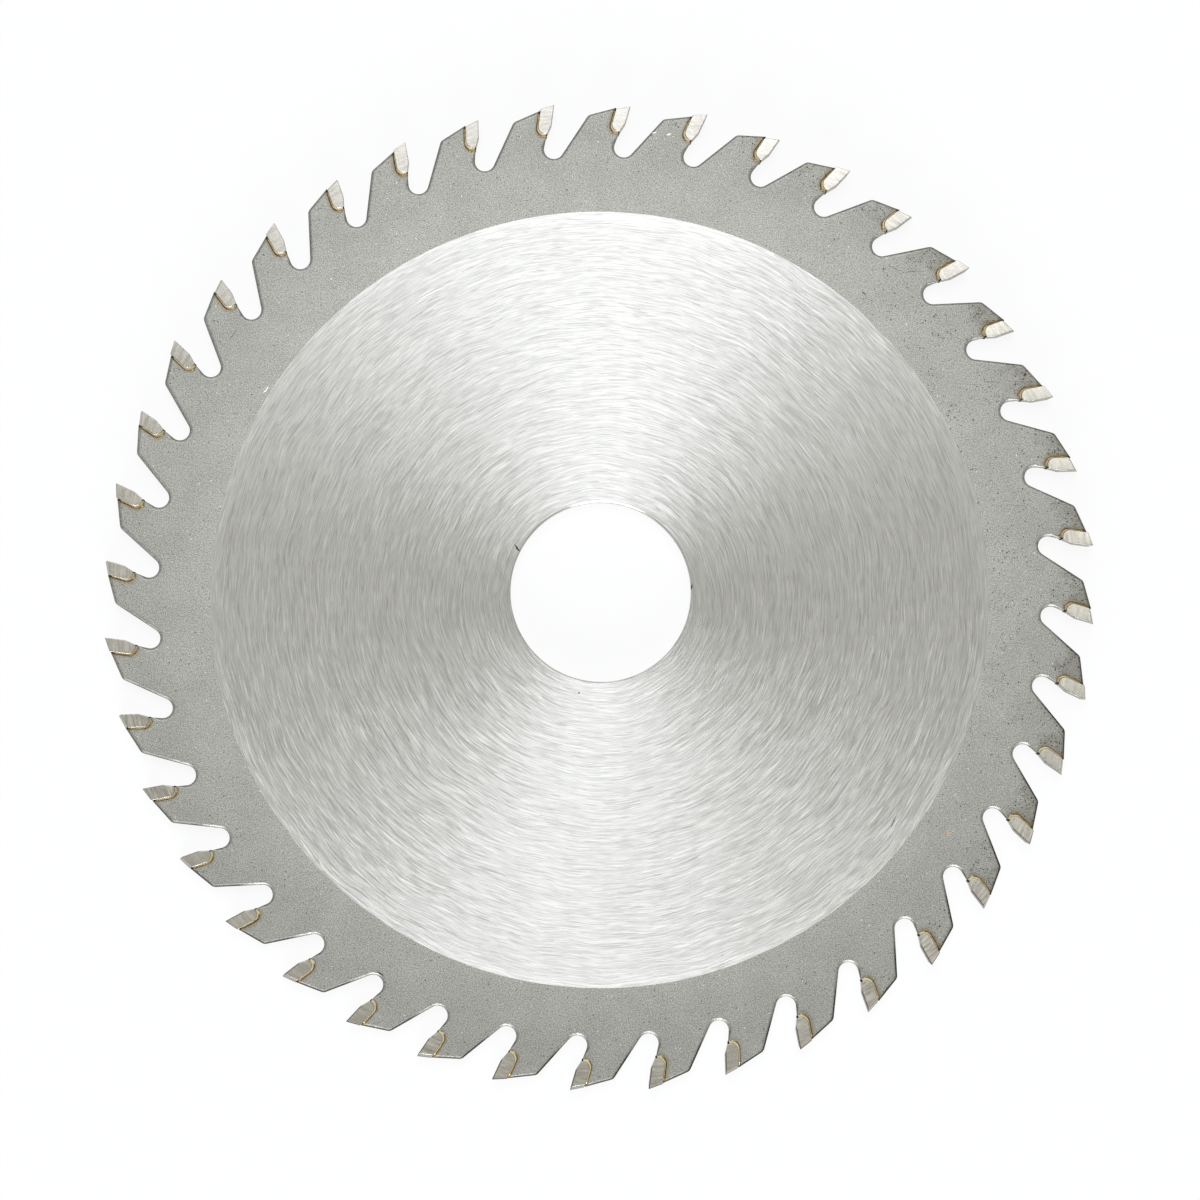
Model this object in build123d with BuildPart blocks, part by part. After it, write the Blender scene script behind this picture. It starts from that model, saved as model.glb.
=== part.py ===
"""Carbide-tipped circular saw blade, 110 mm across the teeth, with 40 brazed tips.

Millimetres and degrees. The origin is the middle of the arbor bore, half-way through the plate.
+Z is the blade's axis and points out of the face that is seen when the teeth cut clockwise.
Tooth 1 points along +Y and the others follow clockwise, seen from +Z.
"""

import os
from math import cos, radians, sin, tan

from build123d import *

# The plate: a ground steel disc with a plain arbor bore
blade_diameter = 110.0
bore_diameter = 20.0
bore_chamfer = 0.15
plate_thickness = 1.2
tooth_count = 40

# The carbide tips: blocks with a raked front face, a clearance on top and tapering sides
hook_angle = 12.6
top_clearance_angle = 14.0
top_bevel_angle = 12.0
radial_side_angle = 1.0
tangential_side_angle = 2.0
tip_thickness = 1.45
tip_height = 3.27
tip_overhang = 0.3
face_length = 2.3
relief_angle = 29.0
tip_corner_radius = 0.8
tip_corner_share = 0.7

# The brazed joint behind each tip, and the extra room under it where the braze pools
braze_thickness = 0.15
braze_pool = 0.12

# The steel teeth: a top land behind the tip, a rounded heel, a sloping back and a round gullet
land_angle = 18.7
land_step = 0.08
heel_radius = 0.75
back_slope_angle = 29.6
gullet_depth = 6.07
gullet_radius = 1.1
gullet_setback = 0.5
front_wall_angle = 17.5

# What follows from those sizes
blade_radius = blade_diameter / 2
bore_radius = bore_diameter / 2
kerf = plate_thickness + 2 * tip_overhang
pitch_angle = 360 / tooth_count
cutter_radius = blade_radius + gullet_radius


def from_radial(angle):
    """Unit vector that points away from the bore, turned clockwise by an angle."""
    return Vector(sin(radians(angle)), cos(radians(angle)))


def crossing(start, along, other_start, other_along):
    """Point where the line from start meets the line from other_start."""
    gap = other_start - start
    travel = gap.cross(other_along).Z / along.cross(other_along).Z
    return start + along * travel


def next_tooth(point):
    """The same point on the tooth that follows clockwise."""
    return point.rotate(Axis.Z, -pitch_angle)


# Corners of a tip, on the tooth that points along +Y
tooth_point = Vector(0, blade_radius)
face_down = from_radial(180 + hook_angle)
face_back = from_radial(hook_angle - 90)
top_back = from_radial(-90 - top_clearance_angle)
face_foot = tooth_point + face_down * face_length
floor_left = Vector(-1, 0)
floor_level = tooth_point - Vector(0, tip_height)
back_line_start = tooth_point + face_back * tip_thickness
relief_foot = crossing(face_foot, from_radial(180 + relief_angle), floor_level, floor_left)
back_foot = crossing(back_line_start, face_down, floor_level, floor_left)
back_top = crossing(tooth_point, top_back, back_line_start, face_down)
floor_length = relief_foot.X - back_foot.X

# Corners of the gap between a tooth and the next one
gullet_centre = tooth_point - Vector(gullet_setback, gullet_depth - gullet_radius)
back_slope = from_radial(back_slope_angle + pitch_angle)
front_wall = from_radial(front_wall_angle)
wall_foot = gullet_centre + from_radial(front_wall_angle - 90) * gullet_radius
gullet_bottom = gullet_centre - Vector(0, gullet_radius)
slope_foot = gullet_centre + from_radial(back_slope_angle + pitch_angle + 90) * gullet_radius
wall_top = crossing(wall_foot, front_wall, Vector(0, cutter_radius), Vector(1, 0))
land_front = next_tooth(back_top - Vector(0, land_step))
land_back = from_radial(pitch_angle - 90 - land_angle)
heel = crossing(slope_foot, back_slope, land_front, land_back)
next_point = next_tooth(tooth_point)
gap_end = next_tooth(wall_top)

# Side view of a tip
with BuildSketch() as tip_profile:
    with BuildLine():
        Polyline(tooth_point, face_foot, relief_foot, back_foot, back_top, close=True)
    make_face()
    tip_corner = tip_profile.vertices().sort_by_distance(back_foot)[0]
    fillet(tip_corner, min(tip_corner_radius, tip_corner_share * floor_length))

# The seat that is milled for a tip, a braze thickness larger and deeper by the pool
with BuildSketch() as seat:
    with Locations(face_down * braze_pool):
        add(tip_profile.sketch)
    offset(amount=braze_thickness, kind=Kind.INTERSECTION, mode=Mode.REPLACE)

# The gap from a tooth's front wall round the gullet and over the next tooth's heel and land
with BuildSketch() as tooth_gap:
    with BuildLine():
        Line(wall_top, wall_foot)
        ThreePointArc(wall_foot, gullet_bottom, slope_foot)
        Line(slope_foot, heel)
        Polyline(heel, land_front, next_point, gap_end, wall_top)
    make_face()
    heel_corner = tooth_gap.vertices().sort_by_distance(heel)[0]
    fillet(heel_corner, heel_radius)

# The steel between the seat and the tip is taken up by braze, flush with the land and the wall
with BuildSketch() as braze_profile:
    add(seat.sketch)
    add(tip_profile.sketch, mode=Mode.SUBTRACT)
    with PolarLocations(0, 2, start_angle=0, angular_range=pitch_angle, endpoint=True):
        add(tooth_gap.sketch, mode=Mode.SUBTRACT)


def carbide_tip(high_side):
    """A tip on tooth 1. Its top rises towards +Z where high_side is 1, and -Z where it is -1."""
    top_point = Vector(tooth_point.X, tooth_point.Y, high_side * kerf / 2)
    top_across = Vector(0, -tan(radians(top_bevel_angle)), -high_side)
    top_normal = top_across.cross(top_back) * high_side
    side_taper = face_down * tan(radians(radial_side_angle))
    side_taper += face_back * tan(radians(tangential_side_angle))
    with BuildPart() as tip:
        with BuildSketch(Plane.XY.offset(-kerf / 2)):
            add(tip_profile.sketch)
        extrude(amount=kerf)
        split(bisect_by=Plane(origin=top_point, z_dir=top_normal), keep=Keep.BOTTOM)
        for side in (1, -1):
            side_point = Vector(tooth_point.X, tooth_point.Y, side * kerf / 2)
            side_normal = side_taper + Vector(0, 0, side)
            split(bisect_by=Plane(origin=side_point, z_dir=side_normal), keep=Keep.BOTTOM)
    return tip.part


os.makedirs("parts", exist_ok=True)

# The plate, with its bore, gullets and tip seats
with BuildPart() as saw_plate:
    with BuildSketch(Plane.XY.offset(-plate_thickness / 2)):
        Circle(blade_radius)
        Circle(bore_radius, mode=Mode.SUBTRACT)
        with PolarLocations(0, tooth_count):
            add(tooth_gap.sketch, mode=Mode.SUBTRACT)
            add(seat.sketch, mode=Mode.SUBTRACT)
    extrude(amount=plate_thickness)
    bore_edges = saw_plate.edges().filter_by(GeomType.CIRCLE).filter_by(
        lambda edge: abs(edge.radius - bore_radius) < 0.001
    )
    chamfer(bore_edges, bore_chamfer)
saw_plate.part.label = "saw_plate"
export_step(saw_plate.part, "parts/saw_plate.step")

# The braze in all the seats, one thin strip to each
with BuildPart() as braze_joints:
    with BuildSketch(Plane.XY.offset(-plate_thickness / 2)):
        with PolarLocations(0, tooth_count):
            add(braze_profile.sketch)
    extrude(amount=plate_thickness)
braze_joints.part.label = "braze_joints"
export_step(braze_joints.part, "parts/braze_joints.step")

# The tips, whose tops rise towards the two faces of the blade in turn
tip_shapes = [carbide_tip(-1), carbide_tip(1)]
for index in range(tooth_count):
    with BuildPart() as tip:
        with Locations(Rotation(0, 0, -index * pitch_angle)):
            add(tip_shapes[index % 2])
    tip.part.label = f"tip_{index + 1:02d}"
    export_step(tip.part, f"parts/{tip.part.label}.step")
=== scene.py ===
"""Finishes and stage for a circular saw blade with brazed carbide tips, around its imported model.

The frame is in metres. Pieces are shaped at a thousand times that, so a unit is a millimetre there,
and brought back to metres when they are done. Angles round the blade run clockwise from +Y.
"""

import math
import random

import bmesh
import bpy
from bpy.props import FloatProperty, FloatVectorProperty, IntProperty, PointerProperty
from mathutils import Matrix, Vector


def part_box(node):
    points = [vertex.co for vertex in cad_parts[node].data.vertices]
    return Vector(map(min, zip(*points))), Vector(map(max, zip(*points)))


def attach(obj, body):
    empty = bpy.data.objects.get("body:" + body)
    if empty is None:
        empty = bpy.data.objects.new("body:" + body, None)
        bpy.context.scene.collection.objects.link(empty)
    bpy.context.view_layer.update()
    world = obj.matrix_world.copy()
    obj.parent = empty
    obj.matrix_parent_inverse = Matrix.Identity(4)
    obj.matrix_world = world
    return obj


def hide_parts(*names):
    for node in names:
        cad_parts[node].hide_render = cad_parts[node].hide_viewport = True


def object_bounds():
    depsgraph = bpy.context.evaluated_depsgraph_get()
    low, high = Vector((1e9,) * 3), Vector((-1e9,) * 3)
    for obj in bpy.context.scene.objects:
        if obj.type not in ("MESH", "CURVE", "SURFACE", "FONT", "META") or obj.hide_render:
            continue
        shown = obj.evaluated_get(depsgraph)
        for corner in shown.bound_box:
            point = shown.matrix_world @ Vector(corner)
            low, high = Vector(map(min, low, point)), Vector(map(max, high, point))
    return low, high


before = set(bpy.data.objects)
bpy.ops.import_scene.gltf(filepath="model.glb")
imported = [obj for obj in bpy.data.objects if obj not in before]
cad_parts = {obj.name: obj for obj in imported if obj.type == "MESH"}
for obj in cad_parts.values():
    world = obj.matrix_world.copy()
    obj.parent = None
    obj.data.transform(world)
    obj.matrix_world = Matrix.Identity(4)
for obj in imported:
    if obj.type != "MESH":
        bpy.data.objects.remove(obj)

bl_info = {
    "name": "Carbide-Tipped Saw Blade",
    "version": (1, 0, 0),
    "blender": (4, 5, 0),
    "location": "View3D > Sidebar > Saw Blade",
    "description": "Shapes and finishes the plate, tips and braze of a circular saw blade",
    "category": "Add Mesh",
}

CAD_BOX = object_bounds()

# Modelling scale: shapes are worked on in millimetres
TO_MM = 1000.0
MM = 1 / TO_MM

# How closely a point lies on the plate's face, or is the same as another one, in millimetres
ON_FACE = 0.003
SAME_PLACE = 0.002

# Sizes that the frame gives, in millimetres
TIP_NODES = sorted(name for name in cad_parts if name.startswith("tip_"))
PLATE_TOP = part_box("saw_plate")[1].z * TO_MM
BLADE_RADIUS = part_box("tip_01")[1].y * TO_MM
PITCH = math.tau / len(TIP_NODES)
PLATE_POINTS = [vertex.co * TO_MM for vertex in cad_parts["saw_plate"].data.vertices]
BORE_RADIUS = min(math.hypot(point.x, point.y) for point in PLATE_POINTS)
FACE_HOLE_RADIUS = min(
    math.hypot(point.x, point.y) for point in PLATE_POINTS if point.z > PLATE_TOP - ON_FACE
)
BORE_CHAMFER = FACE_HOLE_RADIUS - BORE_RADIUS

# Side view of a tip, measured from its point, in millimetres and radians
HOOK = math.radians(12.6)
TOP_CLEARANCE = math.radians(14)
TIP_THICKNESS = 1.45
TIP_HEIGHT = 3.27
TIP_CORNER = 0.8
TIP_FOOT_LEFT = -2.22
TIP_FOOT_RIGHT = -1.07
POOL_DEPTH = 0.27

# A gullet's bottom lies this far anticlockwise of the tip's point
GULLET_LAG = math.radians(1.0)

# What counts to a tooth reaches this share of the pitch behind its point, and the rest before it
TOOTH_SHARE = 0.88

# Teeth counted clockwise from 0 at the top. Grime, resin and painted edge shade lie thickest round one
# near the bottom, and painted shade on the joints and a painted highlight tint on the tips grow away
# from it. Oil lies thickest round another
BOTTOM_TOOTH = 19
OILIEST_TOOTH = 9

# Ranges of the random slants of the grinding scratches, in radians
COARSE_SLANT = 0.1
FINE_SLANT = 0.56

# How finely shapes are made
FLAT_ANGLE = math.radians(0.3)
CIRCLE_POINTS = 360

# How faces and edges are told apart: the upward share of a normal, angles, and millimetres
WALL_RISE = 0.3
FACE_RISE = 0.9
HONED_ANGLE = math.radians(15)
RIM_MARGIN = 0.5
BRAZED_GAP = 0.05

# Distances from the land at which the braze goes down a step, and the scatter of its beads
LAND_STEPS = (0.5, 0.35, 0.2)
BEAD_SCATTER = 0.15

# Where the camera stands, how it is turned and its focal length, for the picture's perspective
CAMERA_PLACE = Vector((-8.57, -44.42, 463.52)) * MM
CAMERA_TURN = [math.radians(angle) for angle in (5.291, -1.387, 3.547)]
CAMERA_LENS = 126

# Options that many shader nodes share
SMOOTH = {"interpolation_type": "SMOOTHSTEP"}
COLOURS = {"data_type": "RGBA", "output": 2}
LENGTH = {"operation": "LENGTH", "output": "Value"}
DOT = {"operation": "DOT_PRODUCT", "output": "Value"}


def linear(code):
    """Linear red, green and blue of an sRGB hex colour."""
    channels = [int(code[i:i + 2], 16) / 255 for i in (1, 3, 5)]
    return tuple(c / 12.92 if c <= 0.04045 else ((c + 0.055) / 1.055) ** 2.4 for c in channels)


def rgba(colour):
    """A colour as the four numbers of a colour socket."""
    return (*colour, 1.0)


def radius_of(point):
    """Distance of a point from the blade's axis."""
    return math.hypot(point.x, point.y)


class PlateLook(bpy.types.PropertyGroup):
    """Sizes and colours of the steel plate."""

    ground_radius: FloatProperty(
        name="Ground radius", description="Reach of the concentrically ground middle",
        default=43.17 * MM, min=12 * MM, max=47 * MM, unit="LENGTH",
    )
    ground_offset: FloatProperty(
        name="Ground offset", description="How far the ground middle lies off the bore, along Y",
        default=-0.55 * MM, min=-2 * MM, max=2 * MM, unit="LENGTH",
    )
    ground_lean: FloatProperty(
        name="Ground lean", description="Mean angle of the grinding lines from true circles",
        default=math.radians(3.5), min=0, max=math.radians(20), subtype="ANGLE",
    )
    edge_round: FloatProperty(
        name="Edge rounding", description="Width of the rolled edge round teeth and gullets",
        default=0.42 * MM, min=0.02 * MM, max=0.5 * MM, unit="LENGTH",
    )
    ground_colour: FloatVectorProperty(
        name="Ground steel", description="Colour of the ground middle",
        default=linear("#a4a39d"), min=0, max=1, subtype="COLOR",
    )
    blasted_colour: FloatVectorProperty(
        name="Blasted steel", description="Colour of the matt rim",
        default=linear("#87877f"), min=0, max=1, subtype="COLOR",
    )
    cut_colour: FloatVectorProperty(
        name="Cut edge", description="Colour of the laser-cut tooth walls",
        default=linear("#c2c1bc"), min=0, max=1, subtype="COLOR",
    )
    stain_colour: FloatVectorProperty(
        name="Flux stain", description="Colour of the burnt flux round the brazed seats",
        default=linear("#6f5830"), min=0, max=1, subtype="COLOR",
    )
    # Also the colour of the painted shade along the rolled edges of the lower teeth
    dirt_and_edge_shade_colour: FloatVectorProperty(
        name="Dirt", description="Colour of the freckles of oil and resin on the teeth",
        default=linear("#2a261f"), min=0, max=1, subtype="COLOR",
    )


class TipLook(bpy.types.PropertyGroup):
    """Sizes and colours of the carbide tips."""

    edge_round: FloatProperty(
        name="Edge rounding", description="Width of the honed edges of a tip",
        default=0.07 * MM, min=0.005 * MM, max=0.1 * MM, unit="LENGTH",
    )
    colour: FloatVectorProperty(
        name="Carbide", description="Colour of ground tungsten carbide",
        default=linear("#928e83"), min=0, max=1, subtype="COLOR",
    )
    # Painted highlight: the more neutral grey of the upper tips, which stands in for the whitening of
    # their highlights
    highlight_tint_colour: FloatVectorProperty(
        name="Clean carbide", description="Colour of the tips that have not yellowed, at the top",
        default=linear("#96938a"), min=0, max=1, subtype="COLOR",
    )
    # Also the colour of the painted shade along the cutting edges
    resin_and_edge_shade_colour: FloatVectorProperty(
        name="Resin", description="Colour of the burnt resin along the cutting edges",
        default=linear("#3a342c"), min=0, max=1, subtype="COLOR",
    )
    grinding_step: FloatProperty(
        name="Grinding step", description="Distance between the cross-grinding lines",
        default=0.3 * MM, min=0.05 * MM, max=1 * MM, unit="LENGTH",
    )


class BrazeLook(bpy.types.PropertyGroup):
    """Sizes and colours of the brazed joints."""

    rise: FloatProperty(
        name="Rise", description="Height of the braze fillet above the plate",
        default=0.12 * MM, min=0.02 * MM, max=0.25 * MM, unit="LENGTH",
    )
    spread: FloatProperty(
        name="Spread", description="How far the fillet runs out over the plate",
        default=0.05 * MM, min=0, max=0.2 * MM, unit="LENGTH",
    )
    bead: FloatProperty(
        name="Foot bead", description="Radius of the bead at the foot of a seat",
        default=0.2 * MM, min=0.05 * MM, max=0.4 * MM, unit="LENGTH",
    )
    fineness: FloatProperty(
        name="Fineness", description="Size of the cells that the fillet is made from",
        default=0.055 * MM, min=0.03 * MM, max=0.2 * MM, unit="LENGTH",
    )
    seed: IntProperty(
        name="Seed", description="Start of the random sizes of the beads", default=7, min=0,
    )
    bright_colour: FloatVectorProperty(
        name="Bright braze", description="Colour of the clean metal next to the carbide",
        default=linear("#bdb394"), min=0, max=1, subtype="COLOR",
    )
    gold_colour: FloatVectorProperty(
        name="Golden braze", description="Colour of the braze a little further out",
        default=linear("#917f57"), min=0, max=1, subtype="COLOR",
    )
    # Burnt flux and painted shade: the dark outer edge of a joint
    burnt_flux_and_shade_colour: FloatVectorProperty(
        name="Burnt flux", description="Colour of the outer edge of a joint",
        default=linear("#2b2116"), min=0, max=1, subtype="COLOR",
    )


class StageLook(bpy.types.PropertyGroup):
    """Light, floor and camera."""

    world_level: FloatProperty(
        name="World level", description="Light that the surroundings give to matt surfaces",
        default=0.2, min=0, max=1,
    )
    light_distance: FloatProperty(
        name="Light distance", description="Distance from the blade to each light",
        default=1.5, min=0.3, max=5, unit="LENGTH",
    )
    light_colour: FloatVectorProperty(
        name="Light colour", description="Colour of the lights",
        default=linear("#f0f4ff"), min=0, max=1, subtype="COLOR",
    )
    softbox_power: FloatProperty(
        name="Softbox power", description="Power of the softbox", default=15.8, min=0, unit="POWER",
    )
    softbox_width: FloatProperty(
        name="Softbox width", description="Size of the softbox across", default=0.95,
        min=0.1, max=4, unit="LENGTH",
    )
    softbox_length: FloatProperty(
        name="Softbox length", description="Size of the softbox away from the blade",
        default=1.1, min=0.1, max=4, unit="LENGTH",
    )
    softbox_tilt: FloatProperty(
        name="Softbox tilt", description="Angle of the softbox from straight above, towards +Y",
        default=math.radians(32), min=0, max=math.radians(80), subtype="ANGLE",
    )
    softbox_turn: FloatProperty(
        name="Softbox turn", description="Angle of the softbox clockwise from +Y, seen from above",
        default=math.radians(-5), subtype="ANGLE",
    )
    strip_power: FloatProperty(
        name="Strip power", description="Power of the strip light in front of the blade", default=50,
        min=0, unit="POWER",
    )
    strip_width: FloatProperty(
        name="Strip width", description="Size of the strip light across", default=1.4,
        min=0.1, max=4, unit="LENGTH",
    )
    strip_length: FloatProperty(
        name="Strip length", description="Size of the strip light away from the blade",
        default=0.3, min=0.05, max=4, unit="LENGTH",
    )
    strip_tilt: FloatProperty(
        name="Strip tilt", description="Angle of the strip light from straight above, towards -Y",
        default=math.radians(80), min=0, max=math.radians(85), subtype="ANGLE",
    )
    floor_size: FloatProperty(
        name="Floor size", description="Length of the floor's sides", default=6.0, min=0.5,
        unit="LENGTH",
    )
    floor_glow: FloatProperty(
        name="Floor glow", description="How much of the floor is plain white to camera and mirrors",
        default=0.91, min=0, max=1, subtype="FACTOR",
    )


def add_node(tree, kind, sockets=(), output=0, **settings):
    """Adds a node, sets its options and sockets, links what is itself a socket, gives an output."""
    node = tree.nodes.new("ShaderNode" + kind)
    for option, value in settings.items():
        setattr(node, option, value)
    pairs = sockets.items() if isinstance(sockets, dict) else enumerate(sockets)
    for place, value in pairs:
        if isinstance(value, bpy.types.NodeSocket):
            tree.links.new(value, node.inputs[place])
        elif value is not None:
            node.inputs[place].default_value = value
    return node.outputs[output] if node.outputs else None


def start_material(name):
    """An empty material and its node tree."""
    material = bpy.data.materials.new(name)
    material.use_nodes = True
    material.node_tree.nodes.clear()
    return material, material.node_tree


def millimetres(tree):
    """A point of the piece in millimetres."""
    place = add_node(tree, "TexCoord", output="Object")
    return add_node(tree, "VectorMath", {0: place, "Scale": TO_MM}, operation="SCALE")


def flattened(tree, place, centre_y=0.0):
    """A point's way from an axis through a centre on Y, without its height, and its length."""
    way = add_node(tree, "VectorMath", [place, (0, centre_y, 0)], operation="SUBTRACT")
    flat = add_node(tree, "VectorMath", [way, (1, 1, 0)], operation="MULTIPLY")
    radius = add_node(tree, "VectorMath", [flat], **LENGTH)
    return flat, radius


def on_arcs(tree, flat, radius, arc_length, width, shift):
    """Coordinates in which a pattern of size 1 is drawn out along arcs that wander a little."""
    drift = add_node(
        tree, "TexNoise", {"Vector": flat, "W": shift, "Scale": 0.17, "Detail": 0.5},
        noise_dimensions="4D",
    )
    wandering = add_node(tree, "Math", [drift, 1.1, radius], operation="MULTIPLY_ADD")
    along = add_node(tree, "VectorMath", {0: flat, "Scale": 1 / arc_length}, operation="SCALE")
    across = add_node(tree, "Math", [wandering, 1 / width, shift], operation="MULTIPLY_ADD")
    lift = add_node(tree, "CombineXYZ", {"Z": across})
    return add_node(tree, "VectorMath", [along, lift], operation="ADD")


def spot(tree, place, centre, length, width, turn):
    """A mask of one mark: an ellipse that is turned clockwise from +Y and has a ragged edge."""
    ragged = add_node(tree, "TexNoise", {"Vector": place, "Scale": 4.0}, output="Color")
    shifted = add_node(
        tree, "VectorMath", [ragged, (0.3, 0.3, 0), place], operation="MULTIPLY_ADD",
    )
    local = add_node(
        tree, "Mapping",
        {
            "Vector": shifted,
            "Location": (centre[0] + 0.15, centre[1] + 0.15, PLATE_TOP),
            "Rotation": (0, 0, -math.radians(turn)),
            "Scale": (width / 2, length / 2, 2.0),
        },
        vector_type="TEXTURE",
    )
    away = add_node(tree, "VectorMath", [local], **LENGTH)
    return add_node(tree, "MapRange", [away, 0.6, 1.4, 1, 0], **SMOOTH)


def bare_metal(tree, colour, roughness, height, strength, depth, lay=None):
    """Gives a material a bare metal surface: a relief, its depth in millimetres, and any lay."""
    relief = add_node(tree, "Bump", {"Height": height, "Strength": strength, "Distance": depth * MM})
    sockets = {"Base Color": colour, "Metallic": 1.0, "Roughness": roughness, "Normal": relief}
    shader = add_node(tree, "BsdfPrincipled", {**sockets, **(lay or {})})
    add_node(tree, "OutputMaterial", {"Surface": shader})


def with_marks(tree, place, colour, marks):
    """A colour with marks painted on it."""
    for centre, length, width, turn, mark in marks:
        mask = spot(tree, place, centre, length, width, turn)
        colour = add_node(tree, "Mix", {0: mask, 6: colour, 7: rgba(linear(mark))}, **COLOURS)
    return colour


def tooth_place(tree, flat, radius):
    """Where a point lies from the point of its tip, how high above that, and its tooth's number."""
    x_and_y = add_node(tree, "SeparateXYZ", [flat])
    y = x_and_y.node.outputs["Y"]
    turn = add_node(tree, "Math", [x_and_y, y], operation="ARCTAN2")
    teeth = add_node(tree, "Math", [turn, 1 / PITCH], operation="MULTIPLY")
    ahead = add_node(tree, "Math", [teeth, TOOTH_SHARE], operation="ADD")
    number = add_node(tree, "Math", [ahead], operation="FLOOR")
    part = add_node(tree, "Math", [teeth, number], operation="SUBTRACT")
    angle = add_node(tree, "Math", [part, PITCH], operation="MULTIPLY")
    sine = add_node(tree, "Math", [angle], operation="SINE")
    cosine = add_node(tree, "Math", [angle], operation="COSINE")
    right = add_node(tree, "Math", [radius, sine], operation="MULTIPLY")
    height = add_node(tree, "Math", [radius, cosine, -BLADE_RADIUS], operation="MULTIPLY_ADD")
    local = add_node(tree, "CombineXYZ", [right, height])
    tooth = add_node(tree, "Math", [number, float(len(TIP_NODES))], operation="FLOORED_MODULO")
    return local, height, tooth


def by_tooth(tree, tooth, middle, near, far, inside, outside):
    """A value that changes with the number of teeth between a tooth and a given one."""
    apart = add_node(tree, "Math", [tooth, float(middle)], operation="SUBTRACT")
    away = add_node(tree, "Math", [apart], operation="ABSOLUTE")
    return add_node(tree, "MapRange", [away, near, far, inside, outside], **SMOOTH)


def behind_face(tree, local):
    """Distance of a point on a tooth behind the front face of its tip."""
    return add_node(tree, "VectorMath", [local, (-math.cos(HOOK), math.sin(HOOK), 0)], **DOT)


def beyond_tip(tree, local, height):
    """Distance of a point outside the back and foot of a tip, with its rounded corner."""
    behind = behind_face(tree, local)
    past_back = add_node(tree, "Math", [behind, TIP_THICKNESS - TIP_CORNER], operation="SUBTRACT")
    past_foot = add_node(
        tree, "Math", [height, -1.0, TIP_CORNER - TIP_HEIGHT], operation="MULTIPLY_ADD",
    )
    both = add_node(tree, "CombineXYZ", [past_back, past_foot])
    outside = add_node(tree, "VectorMath", [both, (0, 0, 0)], operation="MAXIMUM")
    away = add_node(tree, "VectorMath", [outside], **LENGTH)
    return add_node(tree, "Math", [away, TIP_CORNER], operation="SUBTRACT")


def specks(tree, place, per_mm, smallest, spread, core, strength):
    """A mask of specks of random sizes, one to a cell, and a random number for each of them."""
    cells = add_node(tree, "TexVoronoi", {"Vector": place, "Scale": per_mm}, output="Color")
    chance = add_node(tree, "SeparateXYZ", [cells])
    size = chance.node.outputs["Y"]
    reach = add_node(tree, "Math", [size, spread, smallest], operation="MULTIPLY_ADD")
    away = add_node(tree, "Math", [cells.node.outputs["Distance"], reach], operation="DIVIDE")
    mask = add_node(tree, "MapRange", [away, core, 1.3, strength, 0], **SMOOTH)
    return mask, chance


# Nicks and specks on the ground middle: centre, length, width, turn from +Y, colour
BORE_MARKS = [
    ((-9.55, 4.25), 0.9, 0.22, -40, "#3b2d25"),
    ((10.02, 1.25), 0.7, 0.14, 5, "#3a1f1a"),
    ((-1.71, -11.37), 0.25, 0.2, 0, "#4d473e"),
    ((33.8, -23.4), 1.6, 0.12, 20, "#6a6c6c"),
]

# Marks on the blasted rim, in the same form
RIM_MARKS = [
    ((27.26, 35.32), 0.55, 0.12, -50, "#2b2b28"),
    ((30.6, 38.3), 1.6, 0.07, 110, "#4a4b47"),
    ((32.6, 38.1), 2.4, 0.07, 82, "#4a4b47"),
    ((39.9, -24.2), 0.55, 0.2, -25, "#b98a66"),
    ((42.1, 26.25), 1.7, 0.08, 88, "#55534c"),
    ((-42.6, 26.0), 1.4, 0.1, 30, "#555650"),
    ((-38.5, 20.1), 0.8, 0.1, 30, "#d8dad6"),
    ((2.75, 51.9), 0.5, 0.09, 80, "#e4e6e3"),
    ((4.45, 51.8), 0.5, 0.09, 70, "#e4e6e3"),
    ((45.7, 27.3), 0.35, 0.3, 0, "#4a3c2c"),
]


def scratch_tone(tree, fine, hairs, bands):
    """Tone of the scratches. The difference of two random numbers leaves most of them faint."""
    fine_tone = add_node(tree, "VectorMath", [fine, (0.27, -0.27, 0)], **DOT)
    hair_tone = add_node(tree, "MapRange", [hairs, 0.3, 0.7, -0.1, 0.1], **SMOOTH)
    scratched = add_node(tree, "Math", [fine_tone, hair_tone], operation="ADD")
    scratched = add_node(tree, "Math", [scratched, 1.0], operation="ADD")
    band_tone = add_node(tree, "MapRange", [bands, 0.3, 0.7, 0.985, 1.015], **SMOOTH)
    return add_node(tree, "Math", [scratched, band_tone], operation="MULTIPLY")


def scratch_slant(tree, coarse, fine, lean):
    """Angle of the scratches from true circles: random, by up to 19 degrees each way, and a lean."""
    slant = lean - (COARSE_SLANT + FINE_SLANT) / 2
    for scratches, most in ((coarse, COARSE_SLANT), (fine, FINE_SLANT)):
        part = add_node(tree, "VectorMath", [scratches, (0, 0, most)], **DOT)
        slant = add_node(tree, "Math", [slant, part], operation="ADD")
    return slant


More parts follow.
